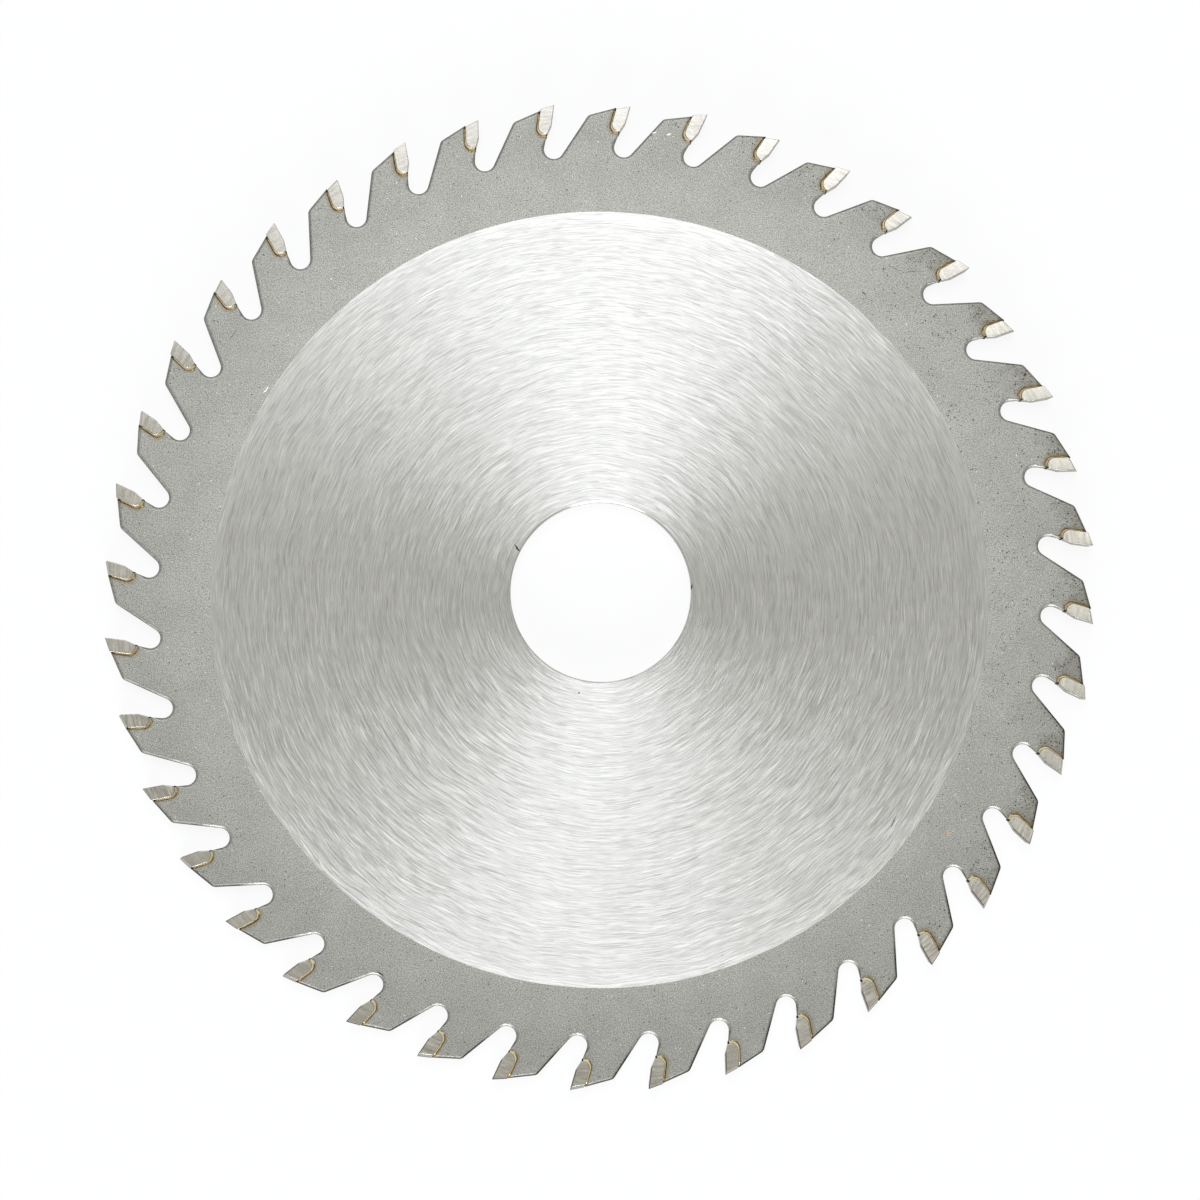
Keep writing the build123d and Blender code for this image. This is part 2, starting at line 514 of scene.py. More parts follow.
def ground_steel(look):
    """Hardened steel ground on a turning table: bright fans of light and short concentric scratches.

    The grit leaves scratches of about 0.03 mm. They are drawn two to four times as wide, so that
    they show. The fine ones have a tone of their own, and all have a slant of their own.
    """
    material, tree = start_material("concentrically_ground_steel")
    place = millimetres(tree)
    flat, radius = flattened(tree, place, look.ground_offset * TO_MM)
    coarse_place = on_arcs(tree, flat, radius, arc_length=2.6, width=0.12, shift=11.3)
    fine_place = on_arcs(tree, flat, radius, arc_length=1.9, width=0.055, shift=47.9)
    band_place = on_arcs(tree, flat, radius, arc_length=11.0, width=0.6, shift=83.1)
    coarse = add_node(tree, "TexVoronoi", {"Vector": coarse_place, "Scale": 1.0}, output="Color")
    fine = add_node(tree, "TexVoronoi", {"Vector": fine_place, "Scale": 1.0}, output="Color")
    bands = add_node(tree, "TexNoise", {"Vector": band_place, "Scale": 1.0, "Detail": 2.0})
    hairs = add_node(tree, "TexNoise", {"Vector": fine_place, "Scale": 1.6, "Detail": 2.0})

    # The last millimetre before the rim is a little lighter
    rim_start = look.ground_radius * TO_MM
    rim_tone = add_node(
        tree, "MapRange", [radius, rim_start - 1.6, rim_start - 0.4, 1.0, 1.07], **SMOOTH,
    )
    scratched = scratch_tone(tree, fine, hairs, bands)
    tone = add_node(tree, "Math", [scratched, rim_tone], operation="MULTIPLY")
    colour = add_node(
        tree, "VectorMath", {0: tuple(look.ground_colour), "Scale": tone}, operation="SCALE",
    )
    colour = with_marks(tree, place, colour, BORE_MARKS)
    slant = scratch_slant(tree, coarse, fine, look.ground_lean)
    turned = add_node(
        tree, "VectorRotate", {"Vector": flat, "Axis": (0, 0, 1), "Angle": slant},
        rotation_type="AXIS_ANGLE",
    )
    roughness = add_node(tree, "MapRange", [bands, 0.3, 0.7, 0.36, 0.38], **SMOOTH)
    lay = {"Anisotropic": 0.945, "Tangent": turned}
    bare_metal(tree, colour, roughness, hairs, strength=0.15, depth=0.004, lay=lay)
    return material


def oiliness(tree, place, outer, tooth):
    """How much oil and resin lies in a place. Most lies near the points of the oiliest teeth."""
    oily_side = by_tooth(tree, tooth, OILIEST_TOOTH, 3.0, 9.0, 1.0, 0.6)
    smear = add_node(
        tree, "TexNoise", {"Vector": place, "Scale": 0.7, "Detail": 4.0, "Roughness": 0.6},
    )
    outward = add_node(tree, "Math", [outer, 0.35, smear], operation="MULTIPLY_ADD")
    return add_node(tree, "Math", [outward, oily_side], operation="MULTIPLY")


def blasted_tone(tree, place, radius, outer, grain, oil):
    """Tone of the blasted rim: grain, clouds, dark specks, and light specks that are painted glints,
    thickest near the points.
    """
    grain_tone = add_node(tree, "MapRange", [grain, 0.28, 0.72, 0.52, 1.48], **SMOOTH)
    cloud = add_node(tree, "TexNoise", {"Vector": place, "Scale": 0.25, "Detail": 3.0})
    cloud_tone = add_node(tree, "MapRange", [cloud, 0.3, 0.7, 0.96, 1.04], **SMOOTH)
    outward_tone = add_node(tree, "MapRange", [radius, 43.5, 51.0, 1.05, 0.93])
    in_speck, chance = specks(
        tree, place, per_mm=2.3, smallest=0.08, spread=0.14, core=0.7, strength=1,
    )
    dark_start = add_node(tree, "MapRange", [oil, 0.4, 0.85, 0.72, 0.15])
    is_dark = add_node(tree, "Math", [chance, dark_start], operation="GREATER_THAN")
    dark_speck = add_node(tree, "Math", [in_speck, is_dark], operation="MULTIPLY")
    dark_tone = add_node(tree, "Math", [dark_speck, -0.55, 1.0], operation="MULTIPLY_ADD")
    # Painted glints: light specks, more of them towards the teeth
    glint_share = add_node(tree, "Math", [outer, 0.16, 0.1], operation="MULTIPLY_ADD")
    is_glint = add_node(tree, "Math", [chance, glint_share], operation="LESS_THAN")
    glint_speck = add_node(tree, "Math", [in_speck, is_glint], operation="MULTIPLY")
    glint_tone = add_node(tree, "Math", [glint_speck, 0.6, 1.0], operation="MULTIPLY_ADD")
    tone = grain_tone
    for part in (cloud_tone, outward_tone, dark_tone, glint_tone):
        tone = add_node(tree, "Math", [tone, part], operation="MULTIPLY")
    return tone


def with_oil(tree, place, colour, oil, look):
    """A colour under oil and resin: a smear, and freckles that lie thickest where it is oiliest."""
    smeared = add_node(tree, "MapRange", [oil, 0.55, 0.95, 0, 0.4], **SMOOTH)
    smear_colour = rgba(linear("#5b564b"))
    colour = add_node(tree, "Mix", {0: smeared, 6: colour, 7: smear_colour}, **COLOURS)
    in_freckle, chance = specks(
        tree, place, per_mm=4.4, smallest=0.14, spread=0.3, core=0.6, strength=0.9,
    )
    freckle_start = add_node(tree, "MapRange", [oil, 0.5, 0.85, 1.0, 0.15])
    is_freckle = add_node(tree, "Math", [chance, freckle_start], operation="GREATER_THAN")
    freckled = add_node(tree, "Math", [in_freckle, is_freckle], operation="MULTIPLY")
    return add_node(tree, "Mix", {0: freckled, 6: colour, 7: rgba(look.dirt_and_edge_shade_colour)}, **COLOURS)


def with_grime_and_edge_shade(tree, place, colour, radius, tooth, look):
    """A colour under grime and painted shade, which lie on the rolled edges of the lower teeth and not
    in the gullets: a dark outline that stands in for the shade at the edge.
    """
    height = add_node(tree, "SeparateXYZ", [place], output="Z")
    level = add_node(tree, "Math", [height], operation="ABSOLUTE")
    # Painted shade with the grime: a dark outline on the low part of each rolled edge, thickest on the
    # lower teeth
    rolled = add_node(
        tree, "MapRange", [level, PLATE_TOP - 0.11, PLATE_TOP - 0.03, 0.92, 0], **SMOOTH,
    )
    low_on_blade = by_tooth(tree, tooth, BOTTOM_TOOTH, 6.0, 12.0, 1, 0.1)
    on_tooth = add_node(tree, "MapRange", [radius, 50.0, 51.5, 0, 1], **SMOOTH)
    grime_and_shade = add_node(tree, "Math", [rolled, low_on_blade], operation="MULTIPLY")
    grime_and_shade = add_node(tree, "Math", [grime_and_shade, on_tooth], operation="MULTIPLY")
    return add_node(tree, "Mix", {0: grime_and_shade, 6: colour, 7: rgba(look.dirt_and_edge_shade_colour)}, **COLOURS)


def with_burnt_flux(tree, place, colour, away, tooth, look):
    """A colour under burnt flux: a dark line round each seat, of flux and painted shade beside the
    tip's overhang, and a stain of a width of its own.
    """
    fate = add_node(tree, "TexWhiteNoise", {"W": tooth}, noise_dimensions="1D")
    blotch = add_node(
        tree, "TexNoise", {"Vector": place, "Scale": 1.8, "Detail": 3.0, "Roughness": 0.65},
    )
    rough_away = add_node(tree, "Math", [blotch, -0.5, away], operation="MULTIPLY_ADD")
    reach = add_node(tree, "Math", [fate, 0.4, 0.2], operation="MULTIPLY_ADD")
    burnt = add_node(tree, "MapRange", [rough_away, -0.1, reach, 0.5, 0], **SMOOTH)
    colour = add_node(tree, "Mix", {0: burnt, 6: colour, 7: rgba(look.stain_colour)}, **COLOURS)
    # Painted shade with the flux: a dark line close beside each seat, where the tip overhangs the
    # plate
    seat_flux_and_shade_line = add_node(tree, "MapRange", [away, 0.19, 0.26, 0.6, 0], **SMOOTH)
    patchy = add_node(tree, "MapRange", [blotch, 0.4, 0.6, 0.4, 1.3], **SMOOTH)
    seat_flux_and_shade_line = add_node(tree, "Math", [seat_flux_and_shade_line, patchy], operation="MULTIPLY")
    seat_shade_colour = rgba(linear("#2c2012"))
    return add_node(tree, "Mix", {0: seat_flux_and_shade_line, 6: colour, 7: seat_shade_colour}, **COLOURS)


def blasted_steel(look):
    """Steel blasted with fine grit: matt and even, with specks and painted glints, grime and painted
    shade on the edges of the lower teeth, and flux burnt on round the seats with a line of painted
    shade.

    The grain is drawn at about 0.12 mm, coarser than the grit, so that it shows.
    """
    material, tree = start_material("grit_blasted_steel")
    place = millimetres(tree)
    flat, radius = flattened(tree, place)
    local, height, tooth = tooth_place(tree, flat, radius)
    away = beyond_tip(tree, local, height)
    outer = add_node(tree, "MapRange", [radius, 49.5, 53.5, 0, 1], **SMOOTH)
    oil = oiliness(tree, place, outer, tooth)
    grain = add_node(
        tree, "TexNoise", {"Vector": place, "Scale": 8.5, "Detail": 2.0, "Roughness": 0.7},
    )
    tone = blasted_tone(tree, place, radius, outer, grain, oil)
    colour = add_node(
        tree, "VectorMath", {0: tuple(look.blasted_colour), "Scale": tone}, operation="SCALE",
    )
    colour = with_oil(tree, place, colour, oil, look)
    colour = with_grime_and_edge_shade(tree, place, colour, radius, tooth, look)
    colour = with_burnt_flux(tree, place, colour, away, tooth, look)
    colour = with_marks(tree, place, colour, RIM_MARKS)
    bare_metal(tree, colour, 0.54, grain, strength=0.35, depth=0.02)
    return material


def cut_steel(look):
    """Laser-cut steel: a grey wall that shines at a low angle, with fine upright striations."""
    material, tree = start_material("laser_cut_steel")
    place = millimetres(tree)
    drawn = add_node(tree, "VectorMath", [place, (5.0, 5.0, 0.5)], operation="MULTIPLY")
    lines = add_node(tree, "TexNoise", {"Vector": drawn, "Scale": 1.0, "Detail": 2.0})
    cloud = add_node(tree, "TexNoise", {"Vector": place, "Scale": 0.8, "Detail": 2.0})
    line_tone = add_node(tree, "MapRange", [lines, 0.3, 0.7, 0.82, 1.15], **SMOOTH)
    cloud_tone = add_node(tree, "MapRange", [cloud, 0.3, 0.7, 0.92, 1.06], **SMOOTH)
    tone = add_node(tree, "Math", [line_tone, cloud_tone], operation="MULTIPLY")
    colour = add_node(
        tree, "VectorMath", {0: tuple(look.cut_colour), "Scale": tone}, operation="SCALE",
    )
    bare_metal(tree, colour, 0.38, lines, strength=0.5, depth=0.02)
    return material


def grinding_lines(tree, local, tooth, step):
    """Cross-grinding lines on the side of a tip, which differ from tooth to tooth."""
    shift = add_node(tree, "Math", [tooth, 3.7], operation="MULTIPLY")
    own_place = add_node(tree, "CombineXYZ", {"Y": shift})
    drawn = add_node(
        tree, "VectorMath", [local, (0.5, 1 / step, 0), own_place], operation="MULTIPLY_ADD",
    )
    return add_node(tree, "TexNoise", {"Vector": drawn, "Scale": 1.0, "Detail": 3.0})


def carbide_tone(tree, place, tooth, lines):
    """Tone of a tip: a level and a depth of line of its own for each tooth, and a fine mottle."""
    fate = add_node(tree, "TexWhiteNoise", {"W": tooth}, output="Color", noise_dimensions="1D")
    level = add_node(tree, "SeparateXYZ", [fate])
    depth = add_node(tree, "Math", [level.node.outputs["Y"], 0.3, 0.08], operation="MULTIPLY_ADD")
    centred = add_node(tree, "Math", [lines, 0.5], operation="SUBTRACT")
    wave = add_node(tree, "Math", [centred, 4.0], operation="MULTIPLY")
    line_tone = add_node(tree, "Math", [wave, depth, 1.0], operation="MULTIPLY_ADD")
    mottle = add_node(
        tree, "TexNoise", {"Vector": place, "Scale": 3.5, "Detail": 2.0, "Roughness": 0.6},
    )
    mottle_tone = add_node(tree, "MapRange", [mottle, 0.3, 0.7, 0.92, 1.07], **SMOOTH)
    tooth_tone = add_node(tree, "Math", [level, 0.12, 0.94], operation="MULTIPLY_ADD")
    tone = add_node(tree, "Math", [line_tone, mottle_tone], operation="MULTIPLY")
    return add_node(tree, "Math", [tone, tooth_tone], operation="MULTIPLY")


def with_resin_and_edge_shade(tree, colour, local, tooth, look):
    """A colour under burnt resin and painted shade along the cutting edges of the lower teeth: a dark
    outline that stands in for the shade at the edges.
    """
    from_face = behind_face(tree, local)
    top_down = (math.sin(TOP_CLEARANCE), -math.cos(TOP_CLEARANCE), 0)
    from_top = add_node(tree, "VectorMath", [local, top_down], **DOT)
    from_edge = add_node(tree, "Math", [from_face, from_top], operation="MINIMUM")
    # Painted shade with the resin: a dark line along the front and top edges, thickest on the lower
    # teeth
    at_edge = add_node(tree, "MapRange", [from_edge, 0.07, 0.14, 0.85, 0], **SMOOTH)
    low_on_blade = by_tooth(tree, tooth, BOTTOM_TOOTH, 5.0, 9.0, 1, 0.2)
    resin = add_node(tree, "Math", [at_edge, low_on_blade], operation="MULTIPLY")
    return add_node(tree, "Mix", {0: resin, 6: colour, 7: rgba(look.resin_and_edge_shade_colour)}, **COLOURS)


def ground_carbide(look):
    """Sintered tungsten carbide, cross-ground with a diamond wheel: satin, warm grey and lined."""
    material, tree = start_material("cross_ground_carbide")
    place = millimetres(tree)
    flat, radius = flattened(tree, place)
    local, _, tooth = tooth_place(tree, flat, radius)
    lines = grinding_lines(tree, local, tooth, look.grinding_step * TO_MM)
    # Painted highlight: tips away from the bottom tooth are tinted a more neutral grey, for the
    # whitening of their highlights
    clean = by_tooth(tree, tooth, BOTTOM_TOOTH, 11.0, 18.0, 0, 1)
    own_colour = add_node(
        tree, "Mix", {0: clean, 6: rgba(look.colour), 7: rgba(look.highlight_tint_colour)}, **COLOURS,
    )
    tone = carbide_tone(tree, place, tooth, lines)
    colour = add_node(tree, "VectorMath", {0: own_colour, "Scale": tone}, operation="SCALE")
    colour = with_resin_and_edge_shade(tree, colour, local, tooth, look)
    roughness = add_node(tree, "MapRange", [lines, 0.3, 0.7, 0.28, 0.34], **SMOOTH)
    bare_metal(tree, colour, roughness, lines, strength=0.3, depth=0.015)
    return material


def with_painted_notch_shadow(tree, colour, local):
    """A colour with a black notch beside the gullet, at the foot of each tip: burnt flux and the
    painted shadow of a pit.
    """
    from_notch = add_node(
        tree, "VectorMath", [local, (TIP_FOOT_RIGHT - 0.02, -TIP_HEIGHT - 0.16, 0)],
        output="Value", operation="DISTANCE",
    )
    notch = add_node(tree, "MapRange", [from_notch, 0.14, 0.22, 1, 0], **SMOOTH)
    return add_node(tree, "Mix", {0: notch, 6: colour, 7: rgba(linear("#0c0a08"))}, **COLOURS)


def silver_brass_braze(look):
    """Silver-brass brazing alloy: bright beside the carbide, golden further out, burnt flux and
    painted shade at its edge, and painted shade on the joints of the upper teeth.
    """
    material, tree = start_material("silver_brass_braze")
    place = millimetres(tree)
    flat, radius = flattened(tree, place)
    local, height, tooth = tooth_place(tree, flat, radius)
    away = beyond_tip(tree, local, height)
    blotch = add_node(
        tree, "TexNoise", {"Vector": place, "Scale": 2.4, "Detail": 2.0, "Roughness": 0.6},
    )
    fate = add_node(tree, "TexWhiteNoise", {"W": tooth}, noise_dimensions="1D")
    tarnish = add_node(tree, "Math", [fate, 0.07, away], operation="MULTIPLY_ADD")
    rough_away = add_node(tree, "Math", [blotch, 0.16, tarnish], operation="MULTIPLY_ADD")

    # Gold further out, then burnt flux with painted shade at the outer edge. Below the foot it stays
    # bright, and at the land it is burnt
    on_side = add_node(
        tree, "MapRange", [height, -TIP_HEIGHT - 0.05, -TIP_HEIGHT + 0.1, 0.15, 1], **SMOOTH,
    )
    golden = add_node(tree, "MapRange", [rough_away, 0.13, 0.2, 0, 1], **SMOOTH)
    gold = add_node(tree, "Math", [golden, on_side], operation="MULTIPLY")
    outermost = add_node(tree, "MapRange", [rough_away, 0.22, 0.29, 0, 1], **SMOOTH)
    at_land = add_node(tree, "MapRange", [height, -1.0, -0.7, 0, 0.9], **SMOOTH)
    burnt = add_node(tree, "Math", [outermost, on_side], operation="MULTIPLY")
    burnt = add_node(tree, "Math", [burnt, at_land], operation="MAXIMUM")

    # Painted shade: the joints of the upper teeth are darkened to a dull brown, as their fillets catch
    # less light there
    upper_joint_shade = by_tooth(tree, tooth, BOTTOM_TOOTH, 5.0, 9.0, 0.1, 0.7)
    upper_joint_shade_colour = rgba(linear("#6b5c3f"))
    bright_tone = add_node(tree, "MapRange", [blotch, 0.3, 0.7, 0.8, 1.1], **SMOOTH)
    colour = add_node(
        tree, "VectorMath", {0: tuple(look.bright_colour), "Scale": bright_tone}, operation="SCALE",
    )
    colour = add_node(tree, "Mix", {0: gold, 6: colour, 7: rgba(look.gold_colour)}, **COLOURS)
    colour = add_node(tree, "Mix", {0: upper_joint_shade, 6: colour, 7: upper_joint_shade_colour}, **COLOURS)
    colour = add_node(tree, "Mix", {0: burnt, 6: colour, 7: rgba(look.burnt_flux_and_shade_colour)}, **COLOURS)
    colour = with_painted_notch_shadow(tree, colour, local)
    roughness = add_node(tree, "MapRange", [rough_away, 0.1, 0.3, 0.34, 0.6], **SMOOTH)
    bare_metal(tree, colour, roughness, blotch, strength=0.4, depth=0.04)
    return material


def open_piece(piece):
    """Makes a piece the only selected object, in edit mode, with nothing in it selected."""
    bpy.ops.object.select_all(action="DESELECT")
    piece.select_set(True)
    bpy.context.view_layer.objects.active = piece
    bpy.ops.object.mode_set(mode="EDIT")
    bpy.ops.mesh.select_all(action="DESELECT")


def select(piece, kind, test):
    """Selects the vertices, edges or faces of a piece in edit mode that pass a test."""
    bpy.ops.mesh.select_mode(type=kind)
    bpy.ops.mesh.select_all(action="DESELECT")
    shape = bmesh.from_edit_mesh(piece.data)
    parts = {"VERT": shape.verts, "EDGE": shape.edges, "FACE": shape.faces}[kind]
    for part in parts:
        if test(part):
            part.select_set(True)
    shape.select_flush_mode()
    bmesh.update_edit_mesh(piece.data)


def copy_of_node(node, name):
    """A merged copy of a frame node, in millimetres, left in edit mode."""
    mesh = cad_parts[node].data.copy()
    mesh.name = name
    mesh.materials.clear()
    piece = bpy.data.objects.new(name, mesh)
    bpy.context.scene.collection.objects.link(piece)
    open_piece(piece)
    bpy.ops.mesh.customdata_custom_splitnormals_clear()
    bpy.ops.mesh.select_all(action="SELECT")
    bpy.ops.transform.resize(value=(TO_MM,) * 3, center_override=(0, 0, 0))
    bpy.ops.mesh.remove_doubles(threshold=SAME_PLACE)
    bpy.ops.mesh.dissolve_limited(angle_limit=FLAT_ANGLE)
    bpy.ops.mesh.select_all(action="DESELECT")
    return piece


def apply_modifier(piece, kind, **settings):
    """Adds a modifier to the active piece in object mode and applies it."""
    modifier = piece.modifiers.new(kind.title(), kind)
    for setting, value in settings.items():
        setattr(modifier, setting, value)
    bpy.ops.object.modifier_apply(modifier=modifier.name)


def remodel(piece, kind, **settings):
    """Applies a modifier to a piece in edit mode, and leaves nothing in it selected."""
    bpy.ops.object.mode_set(mode="OBJECT")
    apply_modifier(piece, kind, **settings)
    open_piece(piece)


def close_piece(piece, smooth_angle):
    """Takes a piece in edit mode back to metres and smooths its normals."""
    bpy.ops.mesh.select_all(action="SELECT")
    bpy.ops.mesh.normals_make_consistent(inside=False)
    bpy.ops.transform.resize(value=(MM,) * 3, center_override=(0, 0, 0))
    bpy.ops.object.mode_set(mode="OBJECT")
    bpy.ops.object.shade_smooth_by_angle(angle=smooth_angle)
    apply_modifier(piece, "WEIGHTED_NORMAL", keep_sharp=True, weight=100)


def take_over(piece, slot, *nodes):
    """Puts a piece on the blade in place of frame nodes."""
    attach(piece, "root")
    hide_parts(*nodes)


def widen_loop(from_radius, to_radius, rise=0, from_y=0, to_y=0):
    """Extrudes the selected loop to another radius and height, and to another centre on Y."""
    bpy.ops.mesh.extrude_edges_move()
    share = to_radius / from_radius
    bpy.ops.transform.resize(value=(share, share, 1), center_override=(0, from_y, 0))
    bpy.ops.transform.translate(value=(0, to_y - from_y, rise))


def is_tooth_wall(face, ground_radius):
    """Whether a face of the plate stands upright outside its ground middle."""
    return abs(face.normal.z) < WALL_RISE and radius_of(face.calc_center_median()) > ground_radius


class BLADE_OT_plate(bpy.types.Operator):
    """Shape the steel plate with its ground middle, blasted rim and rolled tooth edges"""

    bl_idname = "saw_blade.plate"
    bl_label = "Steel plate"
    bl_options = {"REGISTER", "UNDO"}

    def execute(self, context):
        look = context.scene.plate_look
        ground_radius = look.ground_radius * TO_MM
        ground_y = look.ground_offset * TO_MM
        rim_start = ground_radius + abs(ground_y) + RIM_MARGIN
        plate = copy_of_node("saw_plate", "steel_plate")
        for material in (ground_steel(look), blasted_steel(look), cut_steel(look)):
            plate.data.materials.append(material)
        self.keep_tooth_walls(plate, ground_radius)
        self.add_middle(ground_radius, ground_y)
        self.add_rim(plate, rim_start)
        self.finish_walls(plate, ground_radius)
        self.roll_edges(plate, look.edge_round * TO_MM, rim_start)
        close_piece(plate, math.radians(40))
        take_over(plate, "plate_steel", "saw_plate")
        return {"FINISHED"}

    def keep_tooth_walls(self, plate, ground_radius):
        """Deletes all of the copy but the upright walls of its teeth."""
        select(plate, "FACE", lambda face: not is_tooth_wall(face, ground_radius))
        bpy.ops.mesh.delete(type="FACE")

    def add_middle(self, ground_radius, ground_y):
        """Adds the middle: from the edge of the ground face in to the bore, and out at the back."""
        bpy.ops.mesh.select_mode(type="EDGE")
        bpy.ops.mesh.select_all(action="DESELECT")
        bpy.ops.mesh.primitive_circle_add(
            vertices=CIRCLE_POINTS, radius=ground_radius, fill_type="NOTHING",
            location=(0, ground_y, PLATE_TOP),
        )
        wall_height = 2 * (PLATE_TOP - BORE_CHAMFER)
        widen_loop(ground_radius, FACE_HOLE_RADIUS, from_y=ground_y)
        widen_loop(FACE_HOLE_RADIUS, BORE_RADIUS, rise=-BORE_CHAMFER)
        widen_loop(BORE_RADIUS, BORE_RADIUS, rise=-wall_height)
        widen_loop(BORE_RADIUS, FACE_HOLE_RADIUS, rise=-BORE_CHAMFER)
        widen_loop(FACE_HOLE_RADIUS, ground_radius, to_y=ground_y)

    def add_rim(self, plate, rim_start):
        """Adds the faces between the ground middle and the teeth, and parts them at the gullets."""
        for side in (1, -1):
            select(
                plate, "EDGE",
                lambda edge: edge.is_boundary
                and all(abs(vertex.co.z - side * PLATE_TOP) < ON_FACE for vertex in edge.verts),
            )
            bpy.ops.mesh.fill(use_beauty=False)
        select(
            plate, "FACE",
            lambda face: abs(face.normal.z) > FACE_RISE
            and max(radius_of(vertex.co) for vertex in face.verts) > rim_start,
        )
        plate.active_material_index = 1
        bpy.ops.object.material_slot_assign()
        bpy.ops.mesh.dissolve_limited(angle_limit=FLAT_ANGLE, delimit={"MATERIAL"})
        for tooth in range(len(TIP_NODES) // 2):
            turn = tooth * PITCH - GULLET_LAG
            select(plate, "FACE", lambda face: face.material_index == 1)
            bpy.ops.mesh.bisect(
                plane_co=(0, 0, 0), plane_no=(math.cos(turn), -math.sin(turn), 0),
            )

    def finish_walls(self, plate, ground_radius):
        """Gives the tooth walls the cut finish, and turns all faces outwards."""
        select(plate, "FACE", lambda face: is_tooth_wall(face, ground_radius))
        plate.active_material_index = 2
        bpy.ops.object.material_slot_assign()
        bpy.ops.mesh.select_all(action="SELECT")
        bpy.ops.mesh.normals_make_consistent(inside=False)

    def roll_edges(self, plate, width, rim_start):
        """Rounds the edges of the teeth and gullets, all but those that the braze lies against."""
        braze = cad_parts["braze_joints"]

        def is_open_edge(edge):
            ends = [vertex.co for vertex in edge.verts]
            if any(abs(abs(end.z) - PLATE_TOP) > ON_FACE for end in ends):
                return False
            if min(radius_of(end) for end in ends) < rim_start or len(edge.link_faces) != 2:
                return False
            if abs(edge.link_faces[0].normal.z - edge.link_faces[1].normal.z) < 0.5:
                return False
            gaps = [(braze.closest_point_on_mesh(end * MM)[1] * TO_MM - end).length for end in ends]
            return max(gaps) > BRAZED_GAP

        select(plate, "EDGE", is_open_edge)
        bpy.ops.mesh.bevel(
            offset=width, segments=4, profile=0.5, affect="EDGES", clamp_overlap=False, material=1,
        )


class BLADE_OT_tips(bpy.types.Operator):
    """Hone the edges of the carbide tips and give them their cross-ground finish"""

    bl_idname = "saw_blade.tips"
    bl_label = "Carbide tips"
    bl_options = {"REGISTER", "UNDO"}

    def execute(self, context):
        look = context.scene.tip_look
        material = ground_carbide(look)
        for node in TIP_NODES:
            tip = copy_of_node(node, node.replace("tip", "carbide_tip"))
            tip.data.materials.append(material)
            select(
                tip, "EDGE",
                lambda edge: len(edge.link_faces) == 2 and edge.calc_face_angle() > HONED_ANGLE,
            )
            bpy.ops.mesh.bevel(
                offset=look.edge_round * TO_MM, segments=2, profile=0.5, affect="EDGES",
            )
            close_piece(tip, math.radians(50))
            take_over(tip, "carbide", node)
        return {"FINISHED"}


class BLADE_OT_braze(bpy.types.Operator):
    """Raise the braze into uneven fillets, with a bead at the foot of each seat"""

    bl_idname = "saw_blade.braze"
    bl_label = "Brazed joints"
    bl_options = {"REGISTER", "UNDO"}

    def execute(self, context):
        look = context.scene.braze_look
        rise = look.rise * TO_MM
        braze = copy_of_node("braze_joints", "braze_fillets")
        braze.data.materials.append(silver_brass_braze(look))
        for side in (1, -1):
            select(braze, "VERT", lambda vertex: vertex.co.z * side > PLATE_TOP - ON_FACE)
            bpy.ops.transform.translate(value=(0, 0, side * rise))
        self.add_beads(look)
        remodel(braze, "REMESH", mode="VOXEL", voxel_size=look.fineness * TO_MM)
        self.lower_at_land(braze, rise)
        remodel(braze, "SMOOTH", factor=0.5, iterations=3)
        select(braze, "VERT", lambda vertex: abs(vertex.co.z) > PLATE_TOP + 0.02)
        bpy.ops.transform.shrink_fatten(value=look.spread * TO_MM)
        remodel(braze, "DECIMATE", ratio=0.25)
        close_piece(braze, math.radians(60))
        take_over(braze, "braze", "braze_joints")
        return {"FINISHED"}

    def add_beads(self, look):
        """Adds beads where the braze ran down to the foot of the seat, on both faces."""
        chance = random.Random(look.seed)
        foot_x = (TIP_FOOT_LEFT + TIP_FOOT_RIGHT) / 2
        foot_y = BLADE_RADIUS - TIP_HEIGHT - POOL_DEPTH / 2
        foot_reach = math.hypot(foot_x, foot_y)
        foot_turn = math.atan2(foot_x, foot_y)
        bpy.ops.mesh.select_all(action="DESELECT")
        for tooth in range(len(TIP_NODES)):
            for side in (1, -1):
                drift = chance.uniform(-BEAD_SCATTER, BEAD_SCATTER)
                turn = foot_turn + tooth * PITCH + drift / foot_reach
                size = look.bead * TO_MM * chance.uniform(1 - BEAD_SCATTER, 1 + BEAD_SCATTER)
                bpy.ops.mesh.primitive_uv_sphere_add(
                    segments=12, ring_count=8, radius=size,
                    location=(
                        foot_reach * math.sin(turn),
                        foot_reach * math.cos(turn),
                        side * (PLATE_TOP - size * 0.25),
                    ),
                )

    def lower_at_land(self, braze, rise):
        """Takes the braze down in steps near the land. The smoothing after it evens them out."""
        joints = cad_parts["braze_joints"].data
        land_radius = TO_MM * max(radius_of(vertex.co) for vertex in joints.vertices)
        for inset in LAND_STEPS:
            for side in (1, -1):
                select(
                    braze, "VERT",
                    lambda vertex: radius_of(vertex.co) > land_radius - inset
                    and vertex.co.z * side > PLATE_TOP / 2,
                )
                bpy.ops.transform.translate(value=(0, 0, -side * rise))


def seen_or_mirrored(tree):
    """A mask of what the camera, metal and glass see, and not what lights matt surfaces."""
    path = add_node(tree, "LightPath", output="Is Camera Ray").node.outputs
    seen = path["Is Camera Ray"]
    for ray in ("Is Glossy Ray", "Is Transmission Ray"):
        seen = add_node(tree, "Math", [seen, path[ray]], operation="MAXIMUM")
    return seen


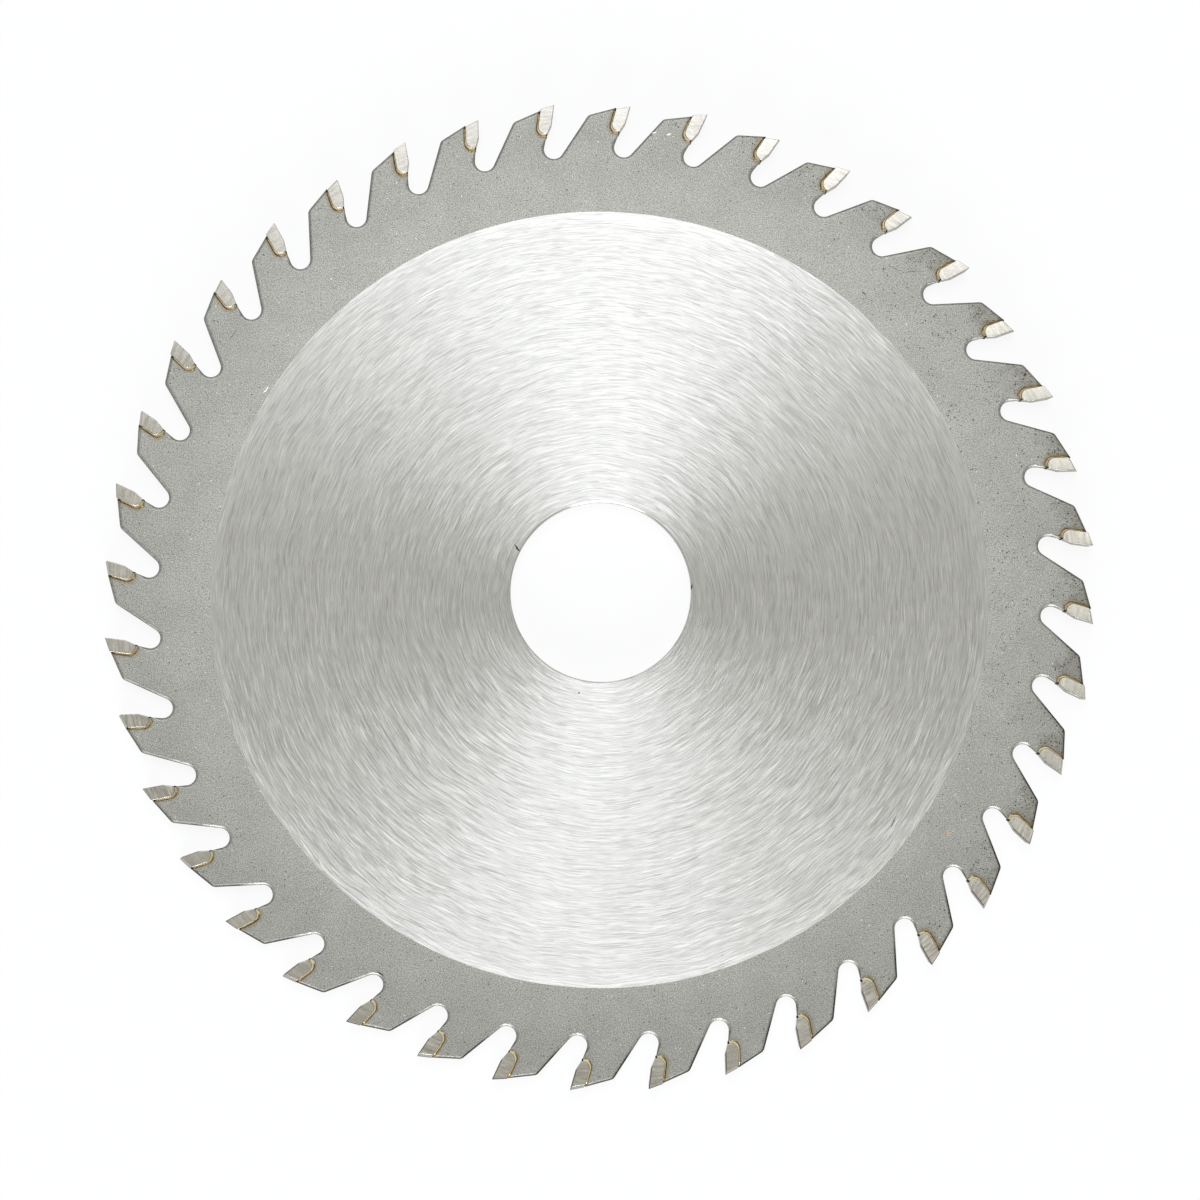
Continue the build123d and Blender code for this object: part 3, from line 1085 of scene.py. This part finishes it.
def floor_material(look):
    """Plain white floor. Camera and mirrors see it mostly as plain white, with a trace of shadow."""
    material, tree = start_material("white_floor")
    matt = add_node(tree, "BsdfDiffuse", {"Color": rgba(linear("#ffffff"))})
    glow = add_node(tree, "Emission", {"Color": rgba(linear("#ffffff")), "Strength": 1.0})
    share = add_node(
        tree, "Math", [seen_or_mirrored(tree), look.floor_glow], operation="MULTIPLY",
    )
    surface = add_node(tree, "MixShader", [share, matt, glow])
    add_node(tree, "OutputMaterial", {"Surface": surface})
    return material


class BLADE_OT_stage(bpy.types.Operator):
    """Lay the white floor and set the lights, the surroundings and the camera"""

    bl_idname = "saw_blade.stage"
    bl_label = "Stage"
    bl_options = {"REGISTER", "UNDO"}

    def execute(self, context):
        look = context.scene.stage_look
        bpy.ops.object.select_all(action="DESELECT")
        bpy.ops.mesh.primitive_plane_add(size=look.floor_size, location=(0, 0, CAD_BOX[0].z))
        floor = context.object
        floor.name = "floor"
        floor.data.materials.append(floor_material(look))
        self.add_light(
            look, "softbox", look.softbox_power, look.softbox_width, look.softbox_length,
            look.softbox_tilt, look.softbox_turn,
        )
        self.add_light(
            look, "strip_light", look.strip_power, look.strip_width, look.strip_length,
            look.strip_tilt, math.pi,
        )
        self.set_surroundings(context, look)
        self.add_camera(context)
        return {"FINISHED"}

    def add_light(self, look, name, power, width, length, tilt, turn):
        """A soft light that faces the blade. Its width lies level."""
        aside = math.sin(tilt)
        place = look.light_distance * Vector((
            aside * math.sin(turn), aside * math.cos(turn), math.cos(tilt),
        ))
        bpy.ops.object.light_add(type="AREA", location=place)
        light = bpy.context.object
        light.name = name
        light.rotation_euler = place.to_track_quat("Z", "Y").to_euler()
        light.data.shape = "RECTANGLE"
        light.data.size = width
        light.data.size_y = length
        light.data.energy = power
        light.data.color = look.light_colour
        light.visible_camera = False

    def set_surroundings(self, context, look):
        """White for what is seen and mirrored, and a plain level for what lights matt surfaces."""
        world = bpy.data.worlds.new("surroundings")
        context.scene.world = world
        world.use_nodes = True
        tree = world.node_tree
        tree.nodes.clear()
        strength = add_node(
            tree, "MapRange", [seen_or_mirrored(tree), 0, 1, look.world_level, 1],
        )
        light = add_node(
            tree, "Background", {"Color": rgba(linear("#ffffff")), "Strength": strength},
        )
        add_node(tree, "OutputWorld", {"Surface": light})

    def add_camera(self, context):
        """Nearly square above the blade, as the picture was taken."""
        bpy.ops.object.camera_add(location=CAMERA_PLACE, rotation=CAMERA_TURN)
        camera = context.object
        camera.name = "camera"
        camera.data.sensor_width = 36
        camera.data.lens = CAMERA_LENS
        camera.data.clip_start = 0.01
        context.scene.camera = camera
        context.scene.view_settings.view_transform = "Standard"


class BLADE_PT_sidebar(bpy.types.Panel):
    """Lists the blade's pieces, sizes and colours"""

    bl_idname = "BLADE_PT_sidebar"
    bl_label = "Saw Blade"
    bl_space_type = "VIEW_3D"
    bl_region_type = "UI"
    bl_category = "Saw Blade"

    def draw(self, context):
        for operator, look in STEPS:
            box = self.layout.box()
            box.operator(operator.bl_idname)
            group = getattr(context.scene, look)
            for name in group.__annotations__:
                box.prop(group, name)


LOOKS = {
    "plate_look": PlateLook,
    "tip_look": TipLook,
    "braze_look": BrazeLook,
    "stage_look": StageLook,
}
STEPS = [
    (BLADE_OT_plate, "plate_look"),
    (BLADE_OT_tips, "tip_look"),
    (BLADE_OT_braze, "braze_look"),
    (BLADE_OT_stage, "stage_look"),
]
CLASSES = [*LOOKS.values(), *(operator for operator, _ in STEPS), BLADE_PT_sidebar]


def register():
    """Adds the classes and their settings to Blender."""
    for cls in CLASSES:
        bpy.utils.register_class(cls)
    for name, group in LOOKS.items():
        setattr(bpy.types.Scene, name, PointerProperty(type=group))


def unregister():
    """Takes the settings and classes out again."""
    for name in LOOKS:
        delattr(bpy.types.Scene, name)
    for cls in reversed(CLASSES):
        bpy.utils.unregister_class(cls)


def main():
    """Makes the blade and its stage."""
    register()
    bpy.ops.saw_blade.stage()
    bpy.ops.saw_blade.plate()
    bpy.ops.saw_blade.tips()
    bpy.ops.saw_blade.braze()


if __name__ == "__main__":
    main()
